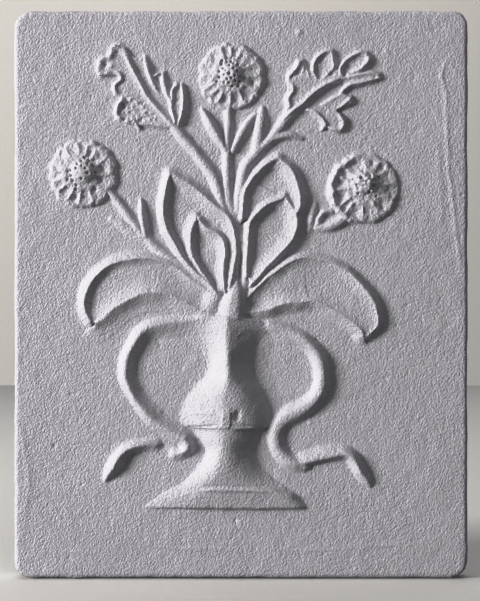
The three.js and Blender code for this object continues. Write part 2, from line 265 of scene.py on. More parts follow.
# A line scored or a bead left along a run, which fades out at its ends
def score(points, radius, height):
    run = smoothRows([[*p, 0] for p in points])
    where = nearBox(run[:, :2].min(0), run[:, :2].max(0), radius * pushReach)
    gap, _, _, place = alongRun(run, where)
    ends = np.clip(np.minimum(place, 1 - place) * len(points) * 2, scoreEnd, 1)
    face["height"][where] += height * ends * np.exp(-((gap / radius) ** 2))


# Leaves the plaster rough inside an outline
def roughen(outline, amount, grain, seed):
    where = nearBox(outline.min(0), outline.max(0), 1)
    where = where[insideOutline(outline, where)]
    face["height"][where] += amount * softNoise(face["u"][where], face["v"][where], grain, seed)


vase = {
    "height": 13.5,
    "footFillet": 3,
    "bodyFillet": 2,
    # the roundness of the crests, squared, and what it takes off them
    "crestRound": 3,
    "crestDrop": 1.73,
    # v, crest, left and right edges, share of the height, fullness of the left and right sides
    "foot": [
        [0, 34, -57, 53, 0.3, 5, 5],
        [5, 30, -51, 48.5, 0.37, 5, 5],
        [9.5, 24, -45, 44.5, 0.44, 4.5, 5],
        [12.5, 6, -39, 40, 0.48, 2.6, 3.6],
        [17, -3, -31, 33, 0.56, 2.2, 2],
        [23, -3, -24, 25, 0.66, 2.2, 1.8],
        [29, -3, -19, 20, 0.76, 1.9, 1.7],
        [36, -3, -15.5, 16.5, 0.83, 1.7, 1.6],
        [42, -3, -15, 16, 0.88, 1.5, 1.5],
        [48, -2.5, -18.7, 18.7, 0.9, 1.6, 1.5],
        [58, -2.5, -23, 22.5, 0.9, 1.5, 1.6],
    ],
    "body": [
        [56.5, -3, -29.5, 28, 0.93, 1.4, 2.2],
        [62, -3, -31.5, 28.5, 0.97, 1.3, 2.2],
        [70, -3, -31, 27.5, 1, 1.2, 2.2],
        [78, -2, -27, 24, 1, 1.3, 2],
        [85, -1, -21.5, 21, 1, 1.15, 1.5],
        [92, -1, -15.5, 17, 0.97, 0.95, 1.15],
        [100, -1, -13, 15, 0.93, 0.85, 1.05],
        [109, -1, -15.5, 16, 0.93, 0.7, 1.05],
        [116, -1, -22, 18.5, 0.91, 0.55, 1.05],
        [122, -1, -32, 23, 0.88, 0.42, 0.9],
        [127, -1, -46, 32, 0.84, 0.34, 0.7],
        [135.5, -1, -60, 44, 0.74, 0.3, 0.5],
    ],
    # the top edge of the body: u, v
    "brow": [
        [-60, 126], [-50, 128], [-40, 129.6], [-28, 132.3],
        [-20, 134.4], [3, 133.6], [18, 131.6], [34, 129],
    ],
    "bud": [
        [1.5, 131, 12, 9.5, 0.6],
        [2.8, 140, 12, 10, 0.68],
        [4.2, 149, 9, 8, 0.66],
        [5, 157.5, 3, 3, 0.36],
    ],
    # where the stems run together beside the bud
    "collar": [[-16, 136, 8, 8, 0.34], [-10, 146, 7, 7, 0.4], [-5, 155, 4, 4, 0.36]],
    "tab": [[-1.5, 60, 5, 4.5, 1.02], [-1.5, 66, 5, 4.5, 1.05], [-1.5, 70.5, 4, 4, 1.02]],
    # lines scored or left proud by the tool: points, half width, height
    "lines": [
        [[[-30, 56], [-19, 57.4], [-8, 59.3]], 0.62, -1.8],
        [[[-8, 59.3], [8, 59], [30, 56]], 0.6, -0.6],
        [[[-28, 66.6], [-18, 67], [-8, 66.5]], 1, 0.6],
        [[[-24, 12.8], [8, 13], [40, 12]], 1.3, 1.2],
        [[[-26, 15.4], [8, 15.6], [38, 14.6]], 1, -0.5],
        [[[-20, 135], [-2, 134.6], [18, 132], [34, 129.4]], 0.8, 0.6],
    ],
    "thumbed": [[6, 67.5, 2.2, -1.5], [6.2, 64, 2.2, -1.5]],
}


# A form that stands upright on the face, from rows going up. The brow, if there is one, is its top edge.
def uprightForm(rows, height, fillet, brow=None):
    low, high = rows[0][0], rows[-1][0]
    smooth = smoothRows([[row[0], 0, *row[1:]] for row in rows], spacing=0.5)
    reach = fillet + 3
    where = nearBox(np.array([smooth[:, 3].min(), low]), np.array([smooth[:, 4].max(), high]), reach)
    u = face["u"][where]
    v = face["v"][where]
    crest, left, right, share, fullLeft, fullRight = (
        np.interp(v, smooth[:, 0], smooth[:, k]) for k in range(2, 8)
    )
    onLeft = u < crest
    width = np.where(onLeft, crest - left, right - crest)
    across = (np.sqrt((u - crest) ** 2 + vase["crestRound"]) - vase["crestDrop"]) / width
    rise = height * share * slopeHeight(across, np.where(onLeft, fullLeft, fullRight))
    rise = np.where(across < 1, rise, -runOff * (across - 1) * width)
    if brow is not None:
        high = np.interp(u, *np.array(brow).T)
    beyond = np.maximum(low - v, v - high)
    rise = np.where(beyond > 0, rise - cutOff * beyond, rise)
    addForm(where, rise, fillet)


def modelVase():
    uprightForm(vase["foot"], vase["height"], vase["footFillet"])
    uprightForm(vase["body"], vase["height"], vase["bodyFillet"], vase["brow"])
    ridge(vase["collar"], vase["height"], fullLeft=1.2, fullRight=1.2, fillet=3, crest=2)
    ridge(vase["bud"], vase["height"], fullLeft=1.7, fullRight=2.2, fillet=2.4, crest=1.5)
    ridge(vase["tab"], vase["height"], fullLeft=6, fullRight=6, fillet=0.3)
    for place in vase["thumbed"]:
        push(*place)
    for points, radius, height in vase["lines"]:
        score(points, radius, height)


# Rows as for a ridge, going down
handles = {
    "height": 6.5,
    "left": [
        [-20, 133, 8, 3, 0.45],
        [-34, 130.5, 8, 4, 0.5],
        [-46, 129, 8, 5, 0.65],
        [-55, 127, 7, 5, 0.75],
        [-62.7, 121.5, 6, 4.8, 0.85],
        [-68, 113.5, 5.6, 4.8, 0.88],
        [-71.7, 104, 5.4, 4.8, 0.86],
        [-73, 94, 5.6, 4.2, 0.86],
        [-70.5, 85, 6.2, 3.8, 0.84],
        [-65.5, 76, 7, 3.5, 0.82],
        [-59, 68, 7, 3.8, 0.8],
        [-50.5, 60, 6, 4.5, 0.8],
        [-39.5, 53.5, 7, 5, 0.8],
        [-31.5, 48, 6, 5, 0.85],
        [-29, 43, 4.5, 4.5, 0.85],
        [-32, 39, 4, 4, 0.7],
        [-38, 37.5, 4, 3.5, 0.45],
    ],
    "leftTail": [
        [-52, 43.5, 3, 4, 0.35],
        [-58, 43.8, 4, 4, 0.6],
        [-64, 43, 4.5, 4, 0.75],
        [-71.3, 40.5, 5, 4.2, 0.9],
        [-77.6, 35, 5.5, 4.5, 0.95],
        [-81.5, 29, 5.5, 4.5, 0.92],
        [-84.5, 24, 4, 3.5, 0.7],
        [-87, 19.5, 1.5, 1.5, 0.3],
    ],
    "right": [
        [30, 128.5, 4, 4, 0.5],
        [42, 124, 4.5, 6, 0.55],
        [51.5, 118.5, 4.6, 5, 0.75],
        [60, 111.5, 4.4, 5, 0.86],
        [64.4, 103, 4.2, 5.2, 0.93],
        [66, 94, 4.2, 5.2, 0.94],
        [65.2, 84.5, 4.4, 5.4, 0.94],
        [61.4, 76.5, 4.4, 5.6, 0.9],
        [54.2, 70, 4.6, 5.8, 0.85],
        [44.5, 65, 5, 6.5, 0.75],
        [38, 60, 5, 6, 0.7],
        [34, 54, 4.5, 5.5, 0.7],
        [33.3, 47, 4.5, 5, 0.7],
        [36, 40, 4.5, 5, 0.65],
        [40.8, 35, 4, 4.5, 0.65],
        [47, 31, 4, 4.5, 0.65],
        [53, 30, 3, 4, 0.5],
    ],
    "rightTail": [
        [50, 31, 6, 2.5, 0.5],
        [55, 32.3, 7, 2.8, 0.7],
        [68.4, 35.6, 7.5, 3, 0.8],
        [79, 38, 6, 3.5, 0.85],
        [84.5, 37, 5, 4, 0.9],
        [89, 32, 4.5, 4.5, 0.92],
        [93, 25.5, 4, 4.5, 0.9],
        [97, 19, 3, 4, 0.6],
        [99, 15.5, 1.2, 1.5, 0.3],
    ],
    # the torn end of the left handle: u, v, radius, height
    "torn": [
        [-27.5, 45, 1.4, 0.9], [-27, 40.5, 1.3, 0.9], [-30, 49.5, 1.3, 0.8], [-34.5, 45, 2.4, -1],
        [-46, 43, 3.5, -0.8],
    ],
}


def modelHandles():
    ridge(handles["left"], handles["height"], fullLeft=0.95, fullRight=1.3, crest=1)
    ridge(handles["leftTail"], handles["height"], fullLeft=0.9, fullRight=1.3, crest=0.8)
    ridge(handles["right"], handles["height"], fullLeft=1.2, fullRight=1.7, crest=1.6)
    ridge(handles["rightTail"], handles["height"], fullLeft=1.3, fullRight=1.3, crest=0.8)
    for place in handles["torn"]:
        push(*place)


stems = {
    "height": 3.9,
    "tipWidth": 5,
    "baseWidth": 8,
    "tipShare": 0.7,  # of the height
    "baseGain": 0.3,
    # of the top flower, the left and right sprays and the left flower, going down
    "runs": [
        [[0, 284], [-1, 262], [-1.5, 240], [-0.5, 218], [4, 203], [9, 187], [12, 168], [9, 148]],
        [
            [-74, 322], [-67.6, 306.6], [-60.4, 294], [-52, 283], [-42, 272.5],
            [-32, 260], [-20, 246], [-11, 233], [-2, 206],
        ],
        [
            [80, 302.5], [71.3, 300.6], [63.9, 295.6], [56.6, 290], [48, 281.5], [41, 274.3],
            [30.9, 261.5], [20, 250.5], [12, 240], [8, 226], [6, 208],
        ],
        [[-83, 221], [-75, 211], [-62, 194], [-49.7, 182], [-38, 173], [-20, 160], [-8, 150]],
    ],
}


def modelStems():
    for run in stems["runs"]:
        rows = []
        for i, (u, v) in enumerate(run):
            share = i / (len(run) - 1)
            half = (stems["tipWidth"] * (1 - share) + stems["baseWidth"] * share) / 2
            rows.append([u, v, half, half, stems["tipShare"] + stems["baseGain"] * share])
        ridge(rows, stems["height"], fullLeft=1.5, fullRight=1.5, crest=0.9)


# Small leaves pinched up beside the stems, in rows as for a ridge
sprigs = {
    "height": 4.5,
    "rows": [
        [[-3, 252, 2, 2, 0.8], [-9, 263, 3.5, 2.5, 1], [-14, 272, 3.5, 2.5, 1], [-19, 280, 1, 1, 0.5]],
        [[3, 251, 2, 2, 0.7], [8, 262, 2.5, 4, 0.8], [13, 270, 2.5, 4, 0.8], [19.5, 277, 1, 1.5, 0.4]],
        [
            [19, 250, 3, 3, 0.7], [21.5, 262, 4, 4.5, 0.85],
            [23, 272, 4, 4.5, 0.85], [23.5, 281, 1.6, 1.6, 0.4],
        ],
        [
            [25, 254.5, 2.5, 2, 0.6], [33, 260, 3, 2.4, 0.8],
            [42, 262, 3, 2.4, 0.75], [50.5, 260, 1.2, 1.2, 0.3],
        ],
        [[-59, 192, 2, 2, 0.8], [-60.5, 205, 2.5, 2.5, 1], [-62, 216, 1, 1, 0.5]],
        [[-62, 191, 3, 3, 0.5], [-73, 198, 3.5, 3.5, 0.5], [-83, 203, 1.5, 1.5, 0.3]],
        [[57.5, 197, 3, 2, 0.3], [58.5, 204, 3, 2.5, 0.5], [60, 211, 2.5, 2, 0.5], [61, 214.5, 1, 1, 0.2]],
        [
            [62.5, 199.5, 2, 2, 0.4], [64, 204.5, 2, 1.6, 0.6],
            [67.5, 208, 2, 1.6, 0.6], [72, 208.6, 2, 2, 0.4],
        ],
        [
            [62.5, 197.5, 2.5, 2.5, 0.4], [69, 197.4, 3, 3, 0.7],
            [76, 199.6, 3.5, 3.5, 0.8], [82, 204, 3, 3, 0.6],
        ],
    ],
}


def modelSprigs():
    for rows in sprigs["rows"]:
        ridge(rows, sprigs["height"], fullLeft=1.8, fullRight=1.8)


# Leaves dished with the thumb between two crests that run from the base to the tip. Each crest is a list
# of points, with a share of the leaf's height where it isn't full. The slopes are the widths outside the
# left and the right crest, each with its fullness. The dish has a depth at the base and one at the tip, and
# banks of two widths inside the left and the right crest. A leaf that lies over another hides it.
leaves = {
    "height": 6.2,
    "tipFall": 0.3,
    "innerSlope": 1.3,
    "crest": 0.7,
    "floorFillet": 0.8,
    "leastNarrow": 0.35,  # the least share of their widths that the banks keep
    "all": [
        # the tall leaf left of the middle stem
        {
            "left": [
                [-10, 153], [-18, 161], [-24.5, 167], [-31.8, 175.5], [-38.5, 186.5],
                [-44, 198], [-46, 210], [-44.7, 224], [-41.6, 234.5],
            ],
            "right": [
                [0, 153], [3.5, 167], [5.5, 178], [4, 193.4], [-1.1, 205.4],
                [-9.5, 212.5], [-21.4, 222.5], [-29, 228], [-35.5, 231.5], [-41, 234.8],
            ],
            "slopes": (4.2, 5),
            "fullness": (1.1, 0.8),
            "dish": (4, 5),
            "banks": (5, 10),
            "over": False,
        },
        # the small leaf in front of it
        {
            "left": [
                [-9, 152], [-11.8, 155.7], [-16.6, 162.3], [-21.4, 169.5],
                [-25.6, 177.9], [-27.4, 187.4], [-26.8, 194.6], [-23, 203],
            ],
            "right": [
                [-3, 152], [-3.5, 163.5], [-2.9, 173], [-2.9, 181.4], [-4.7, 188.6],
                [-9.5, 193.4], [-16, 197], [-21.5, 203.5],
            ],
            "slopes": (6, 3),
            "fullness": (1, 0.9),
            "dish": (3.8, 4.6),
            "banks": (4.5, 8),
            "over": True,
        },
        # the tall leaf right of the middle stem
        {
            "left": [
                [9, 203], [9.5, 213], [10.9, 222.3], [13.7, 227.1], [19.2, 234.7], [26.1, 240.9],
                [34.5, 246],
            ],
            "right": [
                [30, 203], [44, 205], [50, 211], [50.6, 216], [49.5, 224.3], [46.7, 232.6],
                [42.6, 239.5], [36, 245.5],
            ],
            "slopes": (4, 4.5),
            "fullness": (1, 0.8),
            "dish": (4, 4.4),
            "banks": (6, 11),
            "over": False,
        },
        # the broad leaf in front of it
        {
            "left": [
                [12.5, 163], [12.8, 174.8], [13, 183.1], [13.5, 193], [15.2, 201],
                [19.8, 207.4], [26.5, 212.7], [34.3, 216.4], [39, 219],
            ],
            "right": [
                [15, 157], [17.8, 159.7], [23.3, 165.2], [31.6, 174.1], [39.8, 183.1],
                [45.3, 190], [47.8, 198.2], [47, 205.1], [44, 212], [40, 218],
            ],
            "slopes": (5.5, 4),
            "fullness": (0.9, 0.8),
            "dish": (4, 4.8),
            "banks": (6, 11),
            "over": True,
        },
        # the drooping leaf on the left
        {
            "left": [
                [-8, 147, 0.6], [-26, 161, 0.7], [-38, 169.5, 0.8], [-50, 174, 0.9], [-62, 175.5],
                [-76, 173.5], [-88, 167.8], [-96, 160], [-100.5, 150], [-101, 140], [-97, 130.5],
            ],
            "right": [
                [-8, 137, 0.6], [-21.4, 139.6, 0.7], [-33.4, 145.6, 0.8], [-45.3, 150.9, 0.9],
                [-52.5, 151.5], [-60.9, 150.4], [-69.3, 147.3], [-77.6, 142], [-85, 136], [-93, 129.5],
            ],
            "slopes": (5, 12),
            "fullness": (1, 0.55),
            "dish": (2.6, 3.8),
            "banks": (6, 12),
            "over": False,
        },
        # the drooping leaf on the right
        {
            "left": [
                [12, 147, 0.7], [18, 153, 0.8], [24.7, 159.7, 0.9], [31.6, 165.2], [38.4, 170],
                [45.3, 174.1], [52.2, 176, 0.9], [60, 175.5, 0.78], [68.7, 173.4, 0.72],
                [79.7, 168.6, 0.76], [90.7, 159.7, 0.88], [97.6, 151.4], [102.4, 143.2], [104.5, 134.9],
                [103.8, 128], [99, 122.5], [95, 120.5],
            ],
            "right": [
                [12, 137, 0.6], [24.7, 138.5, 0.75], [38.4, 143.2, 0.9], [49.5, 144.8, 0.88],
                [58.5, 145.7, 0.84], [65, 143.5, 0.84], [72, 140.2, 0.88], [82.5, 133.5, 1],
                [92.1, 125.3, 1.2], [94, 121.5, 1.2],
            ],
            "slopes": (4, 6.5),
            "fullness": (1.1, 1),
            "dish": (3, 1.6),
            "banks": (8, 9),
            "over": False,
        },
    ],
}


def crestRows(points, height):
    rows = []
    for i, (u, v, *share) in enumerate(points):
        fall = 1 - leaves["tipFall"] * (i / (len(points) - 1)) ** 2
        rows.append([u, v, (share[0] if share else 1) * fall * height])
    return rows


def modelLeaf(leaf):
    height = leaf.get("height", leaves["height"])
    left = smoothRows(crestRows(leaf["left"], height))
    right = smoothRows(crestRows(leaf["right"], height))
    outline = np.vstack([left[:, :2], right[::-1, :2]])
    after = np.roll(outline, -1, axis=0)
    leftIsInner = (outline[:, 0] * after[:, 1] - after[:, 0] * outline[:, 1]).sum() > 0
    where = nearBox(outline.min(0), outline.max(0), 1)
    where = where[insideOutline(outline, where)]
    gapLeft, _, valuesLeft, _ = alongRun(left, where)
    gapRight, _, valuesRight, place = alongRun(right, where)
    width = np.maximum(gapLeft + gapRight, 0.1)
    across = gapLeft / width
    crest = valuesLeft[:, 2] * (1 - across) + valuesRight[:, 2] * across
    depth = leaf["dish"][0] * (1 - place) + leaf["dish"][1] * place
    banks = np.array(leaf["banks"])
    narrow = np.clip(width / banks.sum(), leaves["leastNarrow"], 1)
    leftBank = np.sin(math.pi / 2 * np.clip(gapLeft / (banks[0] * narrow), 0, 1))
    rightBank = np.sin(math.pi / 2 * np.clip(gapRight / (banks[1] * narrow), 0, 1))
    floor = crest - depth * narrow * leftBank * rightBank
    if leaf["over"]:
        face["height"][where] = floor
    else:
        addForm(where, floor, leaves["floorFillet"])
    for crestRun, slope, fullness, outside in (
        (leaf["left"], leaf["slopes"][0], leaf["fullness"][0], not leftIsInner),
        (leaf["right"], leaf["slopes"][1], leaf["fullness"][1], leftIsInner),
    ):
        rows = []
        for u, v, crestHeight in crestRows(crestRun, height):
            widths = (slope, leaves["innerSlope"]) if outside else (leaves["innerSlope"], slope)
            rows.append([u, v, *widths, crestHeight / height])
        ridge(rows, height, fullLeft=fullness, fullRight=fullness, crest=leaves["crest"])


def modelLeaves():
    for leaf in leaves["all"]:
        modelLeaf(leaf)


# Leafy sprays. The bodies are the outlines of the thin leaf, each with its height. A rim is a midrib or a
# curled edge: its points, the widths of its slopes on the left and right of its run, and its height. The
# lobes are small dished leaves. Hollows are sunk by a fingertip or a tool's end: u, v, radius and depth.
sprays = {
    "bodyFillet": 1.6,
    "rimFillet": 1.1,
    "rimEnds": 0.6,  # share of its widths and height that a rim thins to
    "roughness": 0.6,
    "roughGrain": 1.8,
    "bodies": [
        [
            [
                [-72, 322], [-82, 325], [-84, 318], [-91, 315], [-92, 305], [-82, 305], [-77, 303],
                [-80, 295], [-76, 290], [-78, 283], [-78.5, 276], [-74, 271], [-66, 269.5],
                [-59, 269.5], [-46, 267.5], [-38, 268], [-47, 279], [-58, 293], [-66, 305],
            ],
            2.3,
        ],
        [
            [
                [-72, 320], [-66, 317], [-60, 317], [-56, 305], [-47, 305], [-43, 292], [-39, 295],
                [-34, 296], [-33, 284], [-34, 272], [-38, 268], [-47, 279], [-58, 293], [-66, 305],
            ],
            1.3,
        ],
        [
            [
                [36, 269], [41, 279], [41.5, 290], [42, 300], [48, 308], [52, 313], [56, 307],
                [60, 312], [66, 318], [72, 319], [74, 309], [78, 307], [80, 302], [71, 300.5],
                [60, 293], [51, 284.5], [42, 275],
            ],
            2.3,
        ],
        [
            [
                [57, 280], [66, 284], [73, 287.5], [80, 291], [85.5, 288], [84.5, 284], [78, 281],
                [75, 278.5], [80, 272], [78, 266], [70, 267.5], [66, 268], [63, 275],
            ],
            2.2,
        ],
    ],
    "rims": [
        # midribs
        [
            [
                [-74, 321], [-70.5, 313], [-66, 305], [-61, 296],
                [-57, 288.5], [-50, 280], [-43, 272.7], [-38, 267],
            ],
            3, 1.6, 4.4,
        ],
        [
            [[36, 270.5], [43, 277.5], [51, 284], [57, 289], [63, 294], [69, 298], [75, 300], [80, 301.5]],
            3.2, 1.8, 4.6,
        ],
        # left spray, its left side
        [[[-72, 286.5], [-76.5, 285], [-79, 280], [-78, 275], [-74, 272]], 2.6, 1.6, 3.4],
        [
            [
                [-82.2, 307.6], [-78, 306.5], [-75.6, 303.9], [-75.6, 301.3],
                [-78.5, 299], [-80.6, 296.3], [-80, 292.8], [-76.9, 290.7],
            ],
            2.2, 1.8, 4,
        ],
        [[[-67, 273], [-65.3, 269.8], [-63, 266.8]], 1.8, 1.5, 3.3],
        [[[-62, 270.4], [-52.6, 269.3], [-43, 267.2]], 3, 2, 2.7],
        # left spray, its right side
        [[[-59.6, 316.5], [-58, 310], [-55.8, 303.6], [-53.5, 298.5], [-50, 293]], 4.5, 2, 3.6],
        [[[-54, 302.5], [-50.4, 304.6], [-46.6, 305.8]], 1.4, 1.4, 3],
        [[[-46.4, 305.8], [-45.7, 298], [-43.2, 290], [-39.9, 282], [-38, 277]], 4, 2, 3.7],
        # right spray, round its left side
        [[[42, 300.5], [43.7, 304.6], [47.5, 308.5], [50, 313], [52.3, 314.3]], 2.6, 2.4, 3.9],
        [[[52.5, 313], [52.6, 308.5], [51, 304.5]], 1.8, 2, 3.2],
        [
            [[43.2, 299], [44.8, 296], [45, 293], [42.5, 289.5], [42, 286], [43, 283], [41, 279]],
            2, 3.2, 3.9,
        ],
        [[[54.5, 308.5], [55.8, 305], [57, 301]], 1.5, 1.5, 3],
        # right spray, its lower side
        [[[65.8, 283.7], [73.1, 287.6], [80.4, 291.2]], 2, 2.5, 2.9],
        [[[78, 290.5], [80.5, 293.5], [83, 296.6]], 1.6, 1.8, 3.3],
        [[[74.9, 279.8], [80.4, 283.3], [84, 286.2], [85.8, 288.5]], 3, 2, 3.7],
        [[[85.8, 288.5], [85.2, 284.8], [82, 282.5]], 2, 2, 3],
        [[[54.8, 280.5], [60.3, 278.6], [64.8, 274.5], [67.8, 269.8], [66, 266.8]], 1.8, 3, 3.8],
        [
            [[74.5, 279.5], [79.1, 274.5], [80.9, 269.7], [78.6, 265.8], [73, 266.8], [69.4, 268.6]],
            1.8, 3.2, 3.7,
        ],
    ],
    "lobes": [
        {
            "left": [[-38, 271], [-40.3, 280], [-40.4, 287.5], [-39.6, 294], [-36.7, 297.3]],
            "right": [[-35.5, 270], [-33.2, 277], [-32.3, 284], [-32.4, 291], [-33.6, 297.2]],
            "height": 4.2,
            "slopes": (1.6, 1.8),
            "fullness": (1, 1),
            "dish": (1.6, 2),
            "banks": (2, 3),
            "over": False,
        },
        {
            "left": [
                [62, 302, 0.7], [59.3, 307.8], [60.7, 313.3], [63.5, 317.9], [67.6, 320.3], [71.5, 321],
            ],
            "right": [[66, 301, 0.6], [70.5, 305.5, 0.9], [73.6, 310.1], [73.1, 314.7], [72.4, 320.5]],
            "height": 4,
            "slopes": (1.5, 2),
            "fullness": (1, 1),
            "dish": (1.6, 2.2),
            "banks": (2.5, 7),
            "over": True,
        },
        {
            "left": [[79, 304, 0.7], [78.1, 308.2], [80.4, 311.9], [85, 316.5], [92.4, 320.2], [95, 319.8]],
            "right": [[84.1, 304.2, 0.6], [91.4, 307.5, 0.9], [96.9, 312], [98.8, 316], [96.5, 319.3]],
            "height": 4,
            "slopes": (1.4, 2.4),
            "fullness": (1, 1),
            "dish": (1.6, 2),
            "banks": (3, 4),
            "over": True,
        },
        {
            "left": [
                [79, 301.5, 0.7], [84.1, 302.3, 0.8], [90, 304],
                [96, 305], [102, 305.8], [105.5, 304.8],
            ],
            "right": [
                [82, 294.6, 0.7], [85, 296.8, 0.9], [89.6, 297.7], [95.1, 299.1], [101.5, 300.8],
                [106.1, 302.7],
            ],
            "height": 3.9,
            "slopes": (2, 1.6),
            "fullness": (1, 1),
            "dish": (1.6, 0.8),
            "banks": (3, 3),
            "over": False,
        },
    ],
    "hollows": [
        [-87, 311.3, 1.5, 1.3], [-74.8, 281.4, 1.9, 1.7], [-72.7, 275.6, 1.2, 1.1], [-62.5, 273, 1.4, 0.9],
        [-50.3, 301, 2, 1], [-70, 284.6, 0.9, 0.9], [-72.5, 288.8, 1, 1], [-66.5, 281.5, 0.9, 0.7],
        [-64.5, 277.5, 0.9, 0.7], [-69, 278, 0.8, 0.6], [-60, 285, 1, 0.7], [-78.5, 320, 1.4, 0.8],
        [44, 303.2, 1.6, 1], [48, 305, 1.8, 1], [71.7, 305.4, 1.5, 1.3], [102.9, 303.2, 1.1, 1.1],
        [85, 310, 1.4, 0.7], [90, 314, 1.6, 0.8], [72, 283, 1.6, 0.6], [76.5, 271.5, 1.5, 0.6],
    ],
    # lumps pressed on round the curled ends: u, v, radius and height
    "knobs": [
        [-91, 313.5, 2.3, 1.5], [-88.4, 316.4, 2.2, 1.5], [-84.4, 317, 2.2, 1.4], [-91.6, 309, 2.3, 1.4],
        [-89.8, 304.8, 2.2, 1.4], [-85, 306, 2, 1.3], [-82.6, 311, 2.2, 1.1], [-83, 318.5, 2, 1.3],
        [-82.5, 322, 2.2, 1.4], [-79.5, 325, 2.2, 1.3], [-76, 325.5, 2, 1.3],
        [-75, 286.4, 2, 1.2], [-78, 283.8, 2.2, 1.4], [-79, 278.8, 2.2, 1.4], [-76.8, 274.2, 2.2, 1.3],
        [-71.6, 271.8, 2, 1.2], [-67.6, 272.6, 1.8, 1.1], [-72, 289.4, 1.5, 1], [-68.5, 287.2, 1.5, 1],
        [-64.5, 285, 1.5, 0.9], [-61, 282.6, 1.4, 0.9], [50.3, 310.5, 1.6, 0.9], [56.3, 307.6, 1.4, 0.9],
        [85, 287, 1.4, 0.6],
    ],
    # where it was left rough
    "ragged": [
        [-76, 287], [-78, 281], [-77, 274], [-70, 270.8], [-60, 270], [-47, 268.5], [-57, 281],
        [-67, 288],
    ],
}


def modelRim(points, left, right, height):
    rows = []
    for i, (u, v) in enumerate(points):
        share = sprays["rimEnds"] if i in (0, len(points) - 1) else 1.0
        rows.append([u, v, left * share, right * share, share])
    ridge(rows, height, fullLeft=1.1, fullRight=1.1, fillet=sprays["rimFillet"], crest=0.4)


def modelSprays():
    for outline, height in sprays["bodies"]:
        fill(smoothRows(outline + outline[:1]), height, sprays["bodyFillet"])
    for lobe in sprays["lobes"]:
        modelLeaf(lobe)
    for rim in sprays["rims"]:
        modelRim(*rim)
    for u, v, radius, depth in sprays["hollows"]:
        push(u, v, radius, -depth)
    for knob in sprays["knobs"]:
        push(*knob)
    ragged = smoothRows(sprays["ragged"] + sprays["ragged"][:1])
    roughen(ragged, sprays["roughness"], sprays["roughGrain"], seeds["ragged"])


